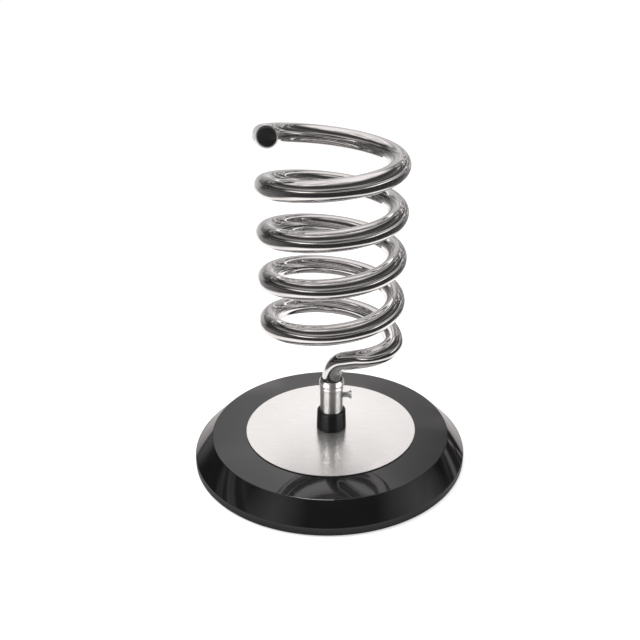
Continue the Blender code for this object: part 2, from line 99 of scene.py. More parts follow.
def filleted(corners, closed=True):
    """Points of a (radius, height) outline whose corners each have their own fillet."""
    points = []
    for index, (radius, height, fillet) in enumerate(corners):
        here = Vector((radius, height, 0))
        at_end = not closed and index in (0, len(corners) - 1)
        if fillet == 0 or at_end:
            points.append((radius, height))
            continue
        before = Vector((*corners[index - 1][:2], 0)) - here
        after = Vector((*corners[(index + 1) % len(corners)][:2], 0)) - here
        half = before.angle(after) / 2
        centre = here + (before.normalized() + after.normalized()).normalized() * fillet / sin(half)
        reach = fillet / tan(half)
        first = here + before.normalized() * reach - centre
        last = here + after.normalized() * reach - centre
        for step in range(FILLET_STEPS + 1):
            spot = centre + fillet * first.slerp(last, step / FILLET_STEPS)
            points.append((spot.x, spot.y))
    return points


def new_piece(name, bm, material):
    """An object from a finished bmesh, smooth except at its sharp edges."""
    bmesh.ops.remove_doubles(bm, verts=bm.verts, dist=SAME_SPOT)
    bmesh.ops.recalc_face_normals(bm, faces=bm.faces)
    mesh = bpy.data.meshes.new(name)
    bm.to_mesh(mesh)
    bm.free()
    mesh.shade_smooth()
    mesh.set_sharp_from_angle(angle=SHARP_EDGE)
    mesh.materials.append(material)
    piece = bpy.data.objects.new(name, mesh)
    bpy.context.collection.objects.link(piece)
    return piece


def turn_profile(bm, profile, steps):
    """Spin a (radius, height) outline about Z. It closes on itself, unless it starts on Z."""
    points = [bm.verts.new((radius, 0, height)) for radius, height in profile]
    edges = [bm.edges.new(pair) for pair in zip(points, points[1:])]
    if profile[0][0] > 0:
        edges.append(bm.edges.new((points[-1], points[0])))
    bmesh.ops.spin(
        bm, geom=points + edges, cent=(0, 0, 0), axis=(0, 0, 1),
        angle=2 * pi, steps=steps, use_merge=True)


def turned_piece(name, profile, steps, material):
    """A piece that is one outline spun about Z."""
    bm = bmesh.new()
    turn_profile(bm, profile, steps)
    return new_piece(name, bm, material)


def start_material(name, colour, roughness, metallic=0.0):
    """A Principled material, with the object's own coordinates for its textures."""
    material = bpy.data.materials.new(name)
    material.use_nodes = True
    nodes = material.node_tree.nodes
    shader = nodes["Principled BSDF"]
    shader.inputs["Base Color"].default_value = (*colour, 1)
    shader.inputs["Roughness"].default_value = roughness
    shader.inputs["Metallic"].default_value = metallic
    coordinates = nodes.new("ShaderNodeTexCoord").outputs["Object"]
    return material, shader, coordinates


def grain(material, coordinates, frequency, detail=3.0, stretch=(1, 1, 1)):
    """Noise with a frequency in cycles per metre, drawn out along an axis."""
    nodes, links = material.node_tree.nodes, material.node_tree.links
    mapping = nodes.new("ShaderNodeMapping")
    mapping.inputs["Scale"].default_value = stretch
    noise = nodes.new("ShaderNodeTexNoise")
    noise.inputs["Scale"].default_value = frequency
    noise.inputs["Detail"].default_value = detail
    links.new(coordinates, mapping.inputs["Vector"])
    links.new(mapping.outputs["Vector"], noise.inputs["Vector"])
    return noise.outputs["Fac"]


def roughen(material, value, shader, low, high):
    """Drive the roughness between two values by a texture."""
    nodes, links = material.node_tree.nodes, material.node_tree.links
    spread = nodes.new("ShaderNodeMapRange")
    spread.inputs["From Min"].default_value = NOISE_LOW
    spread.inputs["From Max"].default_value = NOISE_HIGH
    spread.inputs["To Min"].default_value = low
    spread.inputs["To Max"].default_value = high
    links.new(value, spread.inputs["Value"])
    links.new(spread.outputs["Result"], shader.inputs["Roughness"])


def tint(material, value, shader, shades):
    """Drive the base colour between two shades, dark and light, by a texture."""
    nodes, links = material.node_tree.nodes, material.node_tree.links
    ramp = nodes.new("ShaderNodeValToRGB")
    places = (NOISE_LOW, NOISE_HIGH)
    for element, place, shade in zip(ramp.color_ramp.elements, places, shades):
        element.position = place
        element.color = (*shade, 1)
    links.new(value, ramp.inputs["Fac"])
    links.new(ramp.outputs["Color"], shader.inputs["Base Color"])


def relief(material, value, shader, height):
    """Raise the surface by a texture, by a height in metres, over any relief it has."""
    nodes, links = material.node_tree.nodes, material.node_tree.links
    bump = nodes.new("ShaderNodeBump")
    bump.inputs["Strength"].default_value = 1.0
    bump.inputs["Distance"].default_value = height
    links.new(value, bump.inputs["Height"])
    if shader.inputs["Normal"].is_linked:
        links.new(shader.inputs["Normal"].links[0].from_socket, bump.inputs["Normal"])
    links.new(bump.outputs["Normal"], shader.inputs["Normal"])


def polished_black():
    """Gloss moulding with faint smears and specks, and a slow ripple in its skin."""
    material, shader, spot = start_material("polished_black_moulding", GLOSS_BLACK, roughness=0.06)
    roughen(material, grain(material, spot, frequency=40), shader, low=0.045, high=0.085)
    tint(material, grain(material, spot, frequency=900, detail=2), shader, GLOSS_BLACK_SHADES)
    relief(material, grain(material, spot, frequency=60, detail=2), shader, height=0.01 * MM)
    shader.inputs["IOR"].default_value = GLOSS_IOR
    return material


bevel_slope = atan((BASE_TOP - RIM_TOP) / (RIM_RADIUS - FLAT_RADIUS))
rim_top_inside = RIM_TOP - SHELL_WALL * tan((pi / 2 - bevel_slope) / 2)
flat_radius_inside = FLAT_RADIUS - SHELL_WALL * tan(bevel_slope / 2)
shell_outline = filleted([
    (SHELL_HOLE, BASE_TOP, 0),
    (FLAT_RADIUS, BASE_TOP, TOP_EDGE_ROUND),
    (RIM_RADIUS, RIM_TOP, LOW_EDGE_ROUND),
    (RIM_RADIUS, RIM_FOOT, LOW_EDGE_ROUND),
    (RIM_RADIUS - SHELL_WALL, RIM_FOOT, LOW_EDGE_ROUND / 2),
    (RIM_RADIUS - SHELL_WALL, rim_top_inside, INSIDE_ROUND),
    (flat_radius_inside, BASE_TOP - SHELL_WALL, INSIDE_ROUND),
    (SHELL_HOLE, BASE_TOP - SHELL_WALL, 0)])
shell_mesh = bmesh.new()
turn_profile(shell_mesh, shell_outline, SHELL_STEPS)
boss_outline = filleted([
    (BOSS_RADIUS, BASE_TOP - SHELL_WALL / 2, 0),
    (BOSS_RADIUS, BOSS_FOOT, BOSS_EDGE_ROUND),
    (BOSS_HOLE, BOSS_FOOT, BOSS_HOLE_ROUND),
    (BOSS_HOLE, BASE_TOP - SHELL_WALL / 2, 0)])
for quarter in range(4):
    boss_mesh = bmesh.new()
    turn_profile(boss_mesh, boss_outline, BOSS_STEPS)
    angle = quarter * pi / 2
    bmesh.ops.translate(
        boss_mesh, verts=boss_mesh.verts,
        vec=(BOSS_CIRCLE * cos(angle), BOSS_CIRCLE * sin(angle), 0))
    boss_data = bpy.data.meshes.new("boss")
    boss_mesh.to_mesh(boss_data)
    boss_mesh.free()
    shell_mesh.from_mesh(boss_data)
    bpy.data.meshes.remove(boss_data)
shell = new_piece("black_shell", shell_mesh, polished_black())
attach(shell, "base")
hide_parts("base_shell")


# The trim is a thin disc of stainless sheet, brushed in straight lines, stuck on the
# flat top. Its cut edge is lightly rounded, and catches the light.
TRIM_RADIUS = 73.2 * MM
TRIM_HOLE = 10.0 * MM
TRIM_FOOT = 22.9 * MM
TRIM_TOP = 23.6 * MM
TRIM_EDGE_ROUND = 0.25 * MM
BRUSH_LINES = 260
LONG_LINES = (0.05, 12, 1)
FINE_LINES = (0.2, 40, 1)
SHEET_STEEL = (0.97, 0.955, 0.945)
SHEET_SHADES = ((0.962, 0.947, 0.937), (0.98, 0.965, 0.955))


def draw_out(material, shader, axis, anisotropy):
    """Draw highlights out along an axis, across fine lines in the surface."""
    along_axis = material.node_tree.nodes.new("ShaderNodeCombineXYZ")
    along_axis.inputs[axis].default_value = 1.0
    material.node_tree.links.new(along_axis.outputs["Vector"], shader.inputs["Tangent"])
    shader.inputs["Anisotropic"].default_value = anisotropy


def brushed_sheet():
    """Stainless sheet whose brush lines run left to right and draw highlights out across them."""
    material, shader, spot = start_material(
        "brushed_stainless_sheet", SHEET_STEEL, roughness=0.32, metallic=0.9)
    lines = grain(material, spot, BRUSH_LINES, detail=4, stretch=LONG_LINES)
    fine = grain(material, spot, BRUSH_LINES, detail=2, stretch=FINE_LINES)
    tint(material, lines, shader, SHEET_SHADES)
    roughen(material, fine, shader, low=0.25, high=0.33)
    relief(material, lines, shader, height=0.001 * MM)
    draw_out(material, shader, "Y", anisotropy=0.8)
    return material


trim_outline = filleted([
    (TRIM_HOLE, TRIM_TOP, 0),
    (TRIM_RADIUS, TRIM_TOP, TRIM_EDGE_ROUND),
    (TRIM_RADIUS, TRIM_FOOT, TRIM_EDGE_ROUND),
    (TRIM_HOLE, TRIM_FOOT, 0)])
trim = turned_piece("brushed_trim", trim_outline, SHELL_STEPS, brushed_sheet())
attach(trim, "base")
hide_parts("trim_disc")


# The socket is a black moulded skirt, pushed over the foot of the post to hide its joint
# with the base. It tapers slightly, has a satin skin and a chamfered mouth.
SOCKET_BORE = 10.0 * MM
SOCKET_FOOT_RADIUS = 12.8 * MM
SOCKET_MOUTH_RADIUS = 12.2 * MM
SOCKET_FOOT = 23.9 * MM
SOCKET_MOUTH = 40.9 * MM
SOCKET_CHAMFER = 0.9 * MM
SOCKET_MOUTH_ROUND = 0.3 * MM
SOCKET_FOOT_ROUND = 0.6 * MM
ROUND_STEPS = 96
MOULD_LINES = (3, 3, 0.1)
SKIRT_BLACK = (0.004, 0.0039, 0.0039)
SKIRT_SHADES = ((0.0035, 0.0034, 0.0034), (0.005, 0.0049, 0.0049))


def drawn_black():
    """Black moulding with faint upright lines from its mould, which draw highlights out."""
    material, shader, spot = start_material("satin_black_skirt", SKIRT_BLACK, roughness=0.33)
    lines = grain(material, spot, frequency=500, detail=2, stretch=MOULD_LINES)
    roughen(material, lines, shader, low=0.29, high=0.37)
    tint(material, grain(material, spot, frequency=120), shader, SKIRT_SHADES)
    relief(material, grain(material, spot, frequency=2500, detail=2), shader, height=0.004 * MM)
    draw_out(material, shader, "Z", anisotropy=0.85)
    return material


socket_outline = filleted([
    (SOCKET_BORE, SOCKET_MOUTH, 0),
    (SOCKET_MOUTH_RADIUS - SOCKET_CHAMFER, SOCKET_MOUTH, SOCKET_MOUTH_ROUND),
    (SOCKET_MOUTH_RADIUS, SOCKET_MOUTH - SOCKET_CHAMFER, SOCKET_MOUTH_ROUND),
    (SOCKET_FOOT_RADIUS, SOCKET_FOOT, SOCKET_FOOT_ROUND),
    (SOCKET_BORE, SOCKET_FOOT, 0)])
socket = turned_piece("black_socket", socket_outline, ROUND_STEPS, drawn_black())
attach(socket, "base")
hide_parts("socket")


# The post's sleeve is a satin stainless tube, turned on a lathe. A rolled bead runs round
# it below the flared lip, and a cross hole in its side takes the thumb screw.
SLEEVE_BORE = 8.3 * MM
SLEEVE_RADIUS = 9.7 * MM
SLEEVE_FOOT = 22.9 * MM
SLEEVE_TOP = 70.6 * MM
SLEEVE_ROUND = 0.5 * MM
BEAD_MIDDLE = 62.5 * MM
BEAD_HALF_WIDTH = 1.5 * MM
BEAD_RADIUS = 10.15 * MM
BEAD_FOOT_ROUND = 0.4 * MM
LIP_RADIUS = 10.8 * MM
LIP_LAND = 9.4 * MM
LIP_BAND = 66.45 * MM
LIP_NECK = 64.85 * MM
LIP_INSIDE_ROUND = 0.1 * MM
LIP_LAND_ROUND = 0.2 * MM
LIP_CROWN_RADIUS = 10.38 * MM
LIP_CROWN_HEIGHT = 69.1 * MM
LIP_CROWN_ROUND = 2.0 * MM
BUSH_SEAT = 9.05 * MM
BUSH_TOP = 69.9 * MM
BUSH_FOOT = 62.9 * MM
BUSH_PLAY = 0.3 * MM
SCREW_AXIS = 54.5 * MM
CROSS_HOLE = 2.8 * MM
CROSS_HOLE_SIDES = 48
TURNING_LINES = (0.05, 0.05, 6)
SATIN_STEEL = (0.86, 0.845, 0.825)
SATIN_STEEL_SHADES = ((0.82, 0.805, 0.785), (0.9, 0.885, 0.865))
SATIN_BLACK = (0.018, 0.0175, 0.0175)
SATIN_BLACK_SHADES = ((0.016, 0.0155, 0.0155), (0.021, 0.0205, 0.0205))


def satin_steel():
    """Stainless tube with fine turning lines round it, which draw highlights out upright."""
    material, shader, spot = start_material(
        "satin_stainless_tube", SATIN_STEEL, roughness=0.34, metallic=1.0)
    turning = grain(material, spot, frequency=400, detail=3, stretch=TURNING_LINES)
    tint(material, turning, shader, SATIN_STEEL_SHADES)
    roughen(material, turning, shader, low=0.3, high=0.38)
    relief(material, turning, shader, height=0.003 * MM)
    draw_out(material, shader, "Z", anisotropy=0.9)
    return material


def satin_black():
    """Black moulded plastic with a fine even grain from its mould."""
    material, shader, spot = start_material("satin_black_moulding", SATIN_BLACK, roughness=0.36)
    roughen(material, grain(material, spot, frequency=300), shader, low=0.3, high=0.42)
    tint(material, grain(material, spot, frequency=120), shader, SATIN_BLACK_SHADES)
    relief(material, grain(material, spot, frequency=2500, detail=2), shader, height=0.01 * MM)
    return material


sleeve_outline = filleted([
    (SLEEVE_BORE, SLEEVE_FOOT, 0),
    (SLEEVE_BORE, BUSH_FOOT - BUSH_PLAY, 0),
    (BUSH_SEAT, BUSH_FOOT - BUSH_PLAY, 0),
    (BUSH_SEAT, SLEEVE_TOP, LIP_INSIDE_ROUND),
    (LIP_LAND, SLEEVE_TOP, LIP_LAND_ROUND),
    (LIP_CROWN_RADIUS, LIP_CROWN_HEIGHT, LIP_CROWN_ROUND),
    (LIP_RADIUS, LIP_BAND, SLEEVE_ROUND),
    (SLEEVE_RADIUS, LIP_NECK, SLEEVE_ROUND),
    (SLEEVE_RADIUS, BEAD_MIDDLE + BEAD_HALF_WIDTH, SLEEVE_ROUND),
    (BEAD_RADIUS, BEAD_MIDDLE + BEAD_HALF_WIDTH / 2, SLEEVE_ROUND),
    (BEAD_RADIUS, BEAD_MIDDLE - BEAD_HALF_WIDTH / 2, SLEEVE_ROUND),
    (SLEEVE_RADIUS, BEAD_MIDDLE - BEAD_HALF_WIDTH, BEAD_FOOT_ROUND),
    (SLEEVE_RADIUS, SLEEVE_FOOT, 0)])
sleeve = turned_piece("steel_sleeve", sleeve_outline, ROUND_STEPS, satin_steel())
hole_mesh = bmesh.new()
bmesh.ops.create_cone(
    hole_mesh, cap_ends=True, segments=CROSS_HOLE_SIDES, radius1=CROSS_HOLE, radius2=CROSS_HOLE,
    depth=2 * SLEEVE_RADIUS,
    matrix=Matrix.Translation((SLEEVE_RADIUS, 0, SCREW_AXIS)) @ Matrix.Rotation(pi / 2, 4, "Y"))
hole_cutter = new_piece("hole_cutter", hole_mesh, satin_black())
hole_cut = sleeve.modifiers.new("cross_hole", "BOOLEAN")
hole_cut.object = hole_cutter
hole_cut.solver = "EXACT"
bpy.context.view_layer.update()
cut_sleeve = bpy.data.meshes.new_from_object(
    sleeve.evaluated_get(bpy.context.evaluated_depsgraph_get()))
sleeve.modifiers.clear()
sleeve.data = cut_sleeve
bpy.data.objects.remove(hole_cutter)
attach(sleeve, "base")
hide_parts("sleeve")


# A thin black nylon bush lines the sleeve's mouth and guides the stem. Only its top edge
# shows, as a dark ring inside the lip. A glide of the same nylon closes the stem's foot.
BUSH_BORE = 8.25 * MM
BUSH_RADIUS = 8.8 * MM
BUSH_EDGE_ROUND = 0.12 * MM
BLACK_NYLON = (0.014, 0.014, 0.0145)
BLACK_NYLON_SHADES = ((0.012, 0.012, 0.0125), (0.018, 0.018, 0.0185))


def black_nylon():
    """Black nylon with a dull, slightly uneven skin."""
    material, shader, spot = start_material("black_nylon", BLACK_NYLON, roughness=0.45)
    roughen(material, grain(material, spot, frequency=500), shader, low=0.38, high=0.55)
    tint(material, grain(material, spot, frequency=200), shader, BLACK_NYLON_SHADES)
    relief(material, grain(material, spot, frequency=1800, detail=2), shader, height=0.008 * MM)
    return material


nylon = black_nylon()
bush_outline = filleted([
    (BUSH_BORE, BUSH_TOP, BUSH_EDGE_ROUND),
    (BUSH_RADIUS, BUSH_TOP, BUSH_EDGE_ROUND),
    (BUSH_RADIUS, BUSH_FOOT, BUSH_EDGE_ROUND),
    (BUSH_BORE, BUSH_FOOT, BUSH_EDGE_ROUND)])
bush = turned_piece("mouth_bush", bush_outline, ROUND_STEPS, nylon)
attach(bush, "base")
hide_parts("sleeve_bush")
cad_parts["stem_glide"].material_slots[0].material = nylon


# The coil is one length of steel tube, bent cold round a former and bright chromed: an
# upright stem, an elbow, an arc that swings out to the coil, then four and a half turns.
TUBE_RADIUS = 8.0 * MM
TUBE_BORE = 7.0 * MM
COIL_RADIUS = 51.0 * MM
COIL_PITCH = 36.7 * MM
COIL_TURNS = 4.56
COIL_FOOT_ANGLE = radians(-7.1)
TOP_STRAIGHT = 8.0 * MM
LEAD_IN_RADIUS = 17.4 * MM
RUN_OUT_SLOPE = radians(23.0)
ELBOW_RADIUS = 22.0 * MM
ELBOW_FOOT = 70.9 * MM
STEM_FOOT = 35.5 * MM
STEM_POINTS = 8
ELBOW_POINTS = 24
RUN_OUT_POINTS = 8
LEAD_IN_POINTS = 40
TURN_POINTS = 120
TOP_POINTS = 4
TUBE_SIDES = 48
DIE_LINES = (1, 1, 2)
CHROME = (0.93, 0.925, 0.922)
CHROME_SHADES = ((0.91, 0.903, 0.899), (0.95, 0.945, 0.942))
EDGE_SHEEN = 0.9
EDGE_SHEEN_ROUGHNESS = 0.35


def spaced(first, last, count):
    """The ends of count equal steps from one value to another, with both values."""
    return [first + (last - first) * index / count for index in range(count + 1)]


def coil_line():
    """Centre of the tube, from the foot of the stem to the top end."""
    line = [Vector((0, 0, height)) for height in spaced(STEM_FOOT, ELBOW_FOOT, STEM_POINTS)[:-1]]
    foot = COIL_FOOT_ANGLE
    centre_reach = COIL_RADIUS - LEAD_IN_RADIUS
    centre = Vector((centre_reach * cos(foot), centre_reach * sin(foot), 0))
    run_length = sqrt(centre_reach ** 2 - LEAD_IN_RADIUS ** 2)
    leave = foot + pi + atan(run_length / LEAD_IN_RADIUS)
    touch = centre + LEAD_IN_RADIUS * Vector((cos(leave), sin(leave), 0))
    outward = touch.normalized()
    for angle in spaced(0, pi / 2 - RUN_OUT_SLOPE, ELBOW_POINTS):
        reach = ELBOW_RADIUS * (1 - cos(angle))
        line.append(outward * reach + Vector((0, 0, ELBOW_FOOT + ELBOW_RADIUS * sin(angle))))
    slope = tan(RUN_OUT_SLOPE)
    coil_slope = COIL_PITCH / (2 * pi * COIL_RADIUS)
    corner_length = ELBOW_RADIUS * tan((pi / 2 - RUN_OUT_SLOPE) / 2)
    arc_height = ELBOW_FOOT + corner_length + run_length * slope
    elbow_reach = corner_length * cos(RUN_OUT_SLOPE)
    for reach in spaced(elbow_reach, run_length, RUN_OUT_POINTS)[1:-1]:
        line.append(outward * reach + Vector((0, 0, arc_height - (run_length - reach) * slope)))
    arc_angle = (foot - leave) % (2 * pi)
    for share in spaced(0, 1, LEAD_IN_POINTS):
        angle = leave + arc_angle * share
        rise = LEAD_IN_RADIUS * arc_angle * share * (slope - (slope - coil_slope) * share / 2)
        spoke = Vector((cos(angle), sin(angle), 0))
        line.append(centre + LEAD_IN_RADIUS * spoke + Vector((0, 0, arc_height + rise)))
    coil_height = line[-1].z
    for turn in spaced(0, COIL_TURNS, ceil(COIL_TURNS * TURN_POINTS))[1:]:
        angle = foot + 2 * pi * turn
        line.append(Vector((
            COIL_RADIUS * cos(angle), COIL_RADIUS * sin(angle), coil_height + COIL_PITCH * turn)))
    heading = Vector((-sin(angle), cos(angle), coil_slope)).normalized()
    end = line[-1]
    line += [end + heading * reach for reach in spaced(0, TOP_STRAIGHT, TOP_POINTS)[1:]]
    return line


def tube_along(line, radius, bore):
    """A tube along a line, open right through. Its drawn layer holds places round and along it."""
    bm = bmesh.new()
    drawn = bm.verts.layers.float_vector.new("drawn")
    headings, length = [], 0
    for index in range(len(line)):
        before = line[max(index - 1, 0)]
        after = line[min(index + 1, len(line) - 1)]
        headings.append((after - before).normalized())
    side = headings[0].orthogonal().normalized()
    outer_rings, inner_rings = [], []
    turns = [2 * pi * step / TUBE_SIDES for step in range(TUBE_SIDES)]
    for index, (point, heading) in enumerate(zip(line, headings)):
        side = (side - heading * side.dot(heading)).normalized()
        across = heading.cross(side)
        length += (point - line[max(index - 1, 0)]).length
        for reach, rings in ((radius, outer_rings), (bore, inner_rings)):
            spokes = [reach * (cos(turn) * side + sin(turn) * across) for turn in turns]
            ring = [bm.verts.new(point + spoke) for spoke in spokes]
            for turn, vert in zip(turns, ring):
                vert[drawn] = (cos(turn), sin(turn), length)
            rings.append(ring)
    for step in range(TUBE_SIDES):
        following = (step + 1) % TUBE_SIDES
        for low, high in zip(outer_rings, outer_rings[1:]):
            bm.faces.new((low[step], low[following], high[following], high[step]))
        for low, high in zip(inner_rings, inner_rings[1:]):
            bm.faces.new((low[following], low[step], high[step], high[following]))
        for outer, inner in ((outer_rings[0], inner_rings[0]), (outer_rings[-1], inner_rings[-1])):
            bm.faces.new((outer[step], outer[following], inner[following], inner[step]))
    return bm


def bright_chrome():
    """Chrome plate over drawn tube, whose die lines run the length of the tube. A sheen stands
    in for the white surround that lifts the edges of polished metal in a studio."""
    material, shader, spot = start_material("bright_chrome", CHROME, roughness=0.04, metallic=1.0)
    drawn = material.node_tree.nodes.new("ShaderNodeAttribute")
    drawn.attribute_name = "drawn"
    lines = grain(material, drawn.outputs["Vector"], frequency=5, detail=2, stretch=DIE_LINES)
    tint(material, grain(material, spot, frequency=30), shader, CHROME_SHADES)
    roughen(material, grain(material, spot, frequency=90), shader, low=0.02, high=0.06)
    relief(material, grain(material, spot, frequency=70, detail=1), shader, height=0.012 * MM)
    relief(material, lines, shader, height=0.004 * MM)
    shader.inputs["Sheen Weight"].default_value = EDGE_SHEEN
    shader.inputs["Sheen Roughness"].default_value = EDGE_SHEEN_ROUGHNESS
    return material


chrome = bright_chrome()
centreline = coil_line()
coil = new_piece("chromed_coil", tube_along(centreline, TUBE_RADIUS, TUBE_BORE), chrome)
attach(coil, "coil")
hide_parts("coil_tube")


# A black moulded plug with a domed head closes the coil's top end. Its spigot is pressed
# into the tube.
PLUG_RADIUS = 6.9 * MM
PLUG_RIM = 1.0 * MM
PLUG_DOME = 2.0 * MM
PLUG_GAP = 0.3 * MM
DOME_SHARE = 0.94
DOME_POINTS = 10
DOME_EDGE = 1.2 * MM
SHOULDER = 0.8 * MM
SHOULDER_ROUND = 0.3 * MM
PLUG_RIM_ROUND = 0.1 * MM
SPIGOT_RADIUS = 6.2 * MM
SPIGOT_LENGTH = 6.0 * MM
SPIGOT_ROUND = 0.5 * MM

dome_radius = (PLUG_RADIUS ** 2 + PLUG_DOME ** 2) / (2 * PLUG_DOME)
dome_reach = DOME_SHARE * atan(PLUG_RADIUS / (dome_radius - PLUG_DOME))
plug_outline = [
    (dome_radius * sin(angle), PLUG_RIM + PLUG_DOME - dome_radius * (1 - cos(angle)))
    for angle in spaced(0, dome_reach, DOME_POINTS)]
plug_outline += filleted([
    (dome_radius * sin(dome_reach), DOME_EDGE, 0),
    (PLUG_RADIUS, SHOULDER, SHOULDER_ROUND),
    (PLUG_RADIUS, 0, PLUG_RIM_ROUND),
    (SPIGOT_RADIUS, 0, 0),
    (SPIGOT_RADIUS, -SPIGOT_LENGTH, SPIGOT_ROUND),
    (0, -SPIGOT_LENGTH, 0)], closed=False)[1:]
plug = turned_piece("coil_end_plug", plug_outline, ROUND_STEPS, satin_black())
end_heading = (centreline[-1] - centreline[-2]).normalized()
plug.data.transform(end_heading.to_track_quat("Z", "Y").to_matrix().to_4x4())
plug.location = centreline[-1] + end_heading * PLUG_GAP
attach(plug, "coil")
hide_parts("end_plug")


# The thumb screw clamps the stem from the side. It is turned steel, chromed like the tube,
# with a fine thread and a head that flares like a trumpet. A nylon tip sits in its point.
THREAD_RADIUS = 2.5 * MM
THREAD_PITCH = 0.8 * MM
THREAD_DEPTH = 0.35 * MM
SCREW_TIP = 8.6 * MM
HEAD_START = 14.5 * MM
HEAD_LENGTH = 2.6 * MM
HEAD_RADIUS = 4.05 * MM
HEAD_DISH = 0.7 * MM
DISH_RADIUS = 0.5 * HEAD_RADIUS
DISH_ROUND = 0.6 * MM
HEAD_EDGE_RADIUS = 0.85 * HEAD_RADIUS
HEAD_EDGE_ROUND = 0.25 * MM
FLARE_HEIGHT = 0.85 * HEAD_LENGTH
FLARE_ROUND = 0.2 * MM
THROAT_RADIUS = 0.8 * HEAD_RADIUS
THROAT_HEIGHT = 0.5 * HEAD_LENGTH
THROAT_ROUND = 0.5 * MM
POCKET_RADIUS = 1.6 * MM
POCKET_DEPTH = 2.35 * MM
THREAD_STEPS = 36
THREAD_RINGS_PER_PITCH = 10
PALE_NYLON = (0.72, 0.7, 0.65)
PALE_NYLON_SHADES = ((0.69, 0.67, 0.61), (0.76, 0.74, 0.69))


def threaded_shank(bm, length):
    """A screw thread as one skin round the shank, with a ridge that climbs as it turns."""
    count = ceil(length / THREAD_PITCH * THREAD_RINGS_PER_PITCH)
    rings = []
    for height in spaced(0, length, count):
        fade = min(1, height / THREAD_PITCH, (length - height) / THREAD_PITCH)
        ring = []
        for step in range(THREAD_STEPS):
            angle = 2 * pi * step / THREAD_STEPS
            phase = (height / THREAD_PITCH - angle / (2 * pi)) % 1
            groove = abs(2 * phase - 1) * THREAD_DEPTH * fade
            radius = THREAD_RADIUS - groove
            ring.append(bm.verts.new((radius * cos(angle), radius * sin(angle), height)))
        rings.append(ring)
    for low, high in zip(rings, rings[1:]):
        for step in range(THREAD_STEPS):
            following = (step + 1) % THREAD_STEPS
            bm.faces.new((low[step], low[following], high[following], high[step]))


shank_length = HEAD_START - SCREW_TIP
head_outline = filleted([
    (0, shank_length + HEAD_LENGTH - HEAD_DISH, 0),
    (DISH_RADIUS, shank_length + HEAD_LENGTH - HEAD_DISH, DISH_ROUND),
    (HEAD_EDGE_RADIUS, shank_length + HEAD_LENGTH, HEAD_EDGE_ROUND),
    (HEAD_RADIUS, shank_length + FLARE_HEIGHT, FLARE_ROUND),
    (THROAT_RADIUS, shank_length + THROAT_HEIGHT, THROAT_ROUND),
    (THREAD_RADIUS, shank_length, 0)], closed=False)
point_outline = [
    (0, POCKET_DEPTH), (POCKET_RADIUS, POCKET_DEPTH), (POCKET_RADIUS, 0), (THREAD_RADIUS, 0)]
screw_mesh = bmesh.new()
threaded_shank(screw_mesh, shank_length)
turn_profile(screw_mesh, head_outline, THREAD_STEPS)
turn_profile(screw_mesh, point_outline, THREAD_STEPS)
screw = new_piece("clamp_screw", screw_mesh, chrome)
screw.data.transform(Matrix.Rotation(pi / 2, 4, "Y"))
screw.location = (SCREW_TIP, 0, SCREW_AXIS)
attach(screw, "screw")
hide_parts("thumb_screw")


def natural_nylon():
    """Undyed nylon, off-white and a little blotchy."""
    material, shader, spot = start_material("natural_nylon", PALE_NYLON, roughness=0.5)
    roughen(material, grain(material, spot, frequency=900), shader, low=0.42, high=0.6)
    tint(material, grain(material, spot, frequency=700), shader, PALE_NYLON_SHADES)
    relief(material, grain(material, spot, frequency=3000, detail=2), shader, height=0.01 * MM)
    return material


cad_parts["screw_pad"].material_slots[0].material = natural_nylon()


# Under the base lie four rubber pads and a satin black cover, held by four pan head
# screws. Each pad is a moulded disc with a rounded foot and a shallow dimple.
FOOT_RADIUS = 8.0 * MM
FOOT_THICKNESS = 2.3 * MM
FOOT_TOP_ROUND = 0.2 * MM
FOOT_ROUND = 0.7 * MM
FOOT_SIDES = 48
DIMPLE_RADIUS = 4.0 * MM
DIMPLE_FLOOR_RADIUS = 3.2 * MM
DIMPLE_DEPTH = 0.5 * MM
DIMPLE_ROUND = 0.3 * MM
RUBBER = (0.022, 0.022, 0.022)
RUBBER_SHADES = ((0.018, 0.018, 0.018), (0.03, 0.03, 0.03))
ZINC = (0.58, 0.59, 0.6)
ZINC_SHADES = ((0.5, 0.51, 0.53), (0.66, 0.66, 0.66))


def black_rubber():
    """Moulded rubber, dull and finely pitted."""
    material, shader, spot = start_material("black_rubber", RUBBER, roughness=0.8)
    roughen(material, grain(material, spot, frequency=600), shader, low=0.7, high=0.9)
    tint(material, grain(material, spot, frequency=250), shader, RUBBER_SHADES)
    relief(material, grain(material, spot, frequency=1500, detail=4), shader, height=0.03 * MM)
    return material


rubber = black_rubber()
foot_outline = filleted([
    (0, FOOT_THICKNESS, 0),
    (FOOT_RADIUS, FOOT_THICKNESS, FOOT_TOP_ROUND),
    (FOOT_RADIUS, 0, FOOT_ROUND),
    (DIMPLE_RADIUS, 0, DIMPLE_ROUND),
    (DIMPLE_FLOOR_RADIUS, DIMPLE_DEPTH, DIMPLE_ROUND),
    (0, DIMPLE_DEPTH, 0)], closed=False)
for number in range(1, 5):
    foot = turned_piece(f"anti_slip_pad_{number}", foot_outline, FOOT_SIDES, rubber)
    low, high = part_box(f"rubber_foot_{number}")
    foot.location = ((low.x + high.x) / 2, (low.y + high.y) / 2, 0)
    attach(foot, "base")
    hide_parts(f"rubber_foot_{number}")


def zinc_plate():
    """Zinc plate on steel, in patches of a bluer and a paler grey."""
    material, shader, spot = start_material("zinc_plated_steel", ZINC, roughness=0.34, metallic=1.0)
    tint(material, grain(material, spot, frequency=150), shader, ZINC_SHADES)
    roughen(material, grain(material, spot, frequency=400), shader, low=0.26, high=0.44)
    relief(material, grain(material, spot, frequency=1200, detail=3), shader, height=0.006 * MM)
    return material


zinc = zinc_plate()
for number in range(1, 5):
    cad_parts[f"cover_screw_{number}"].material_slots[0].material = zinc
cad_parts["bottom_cover"].material_slots[0].material = satin_black()


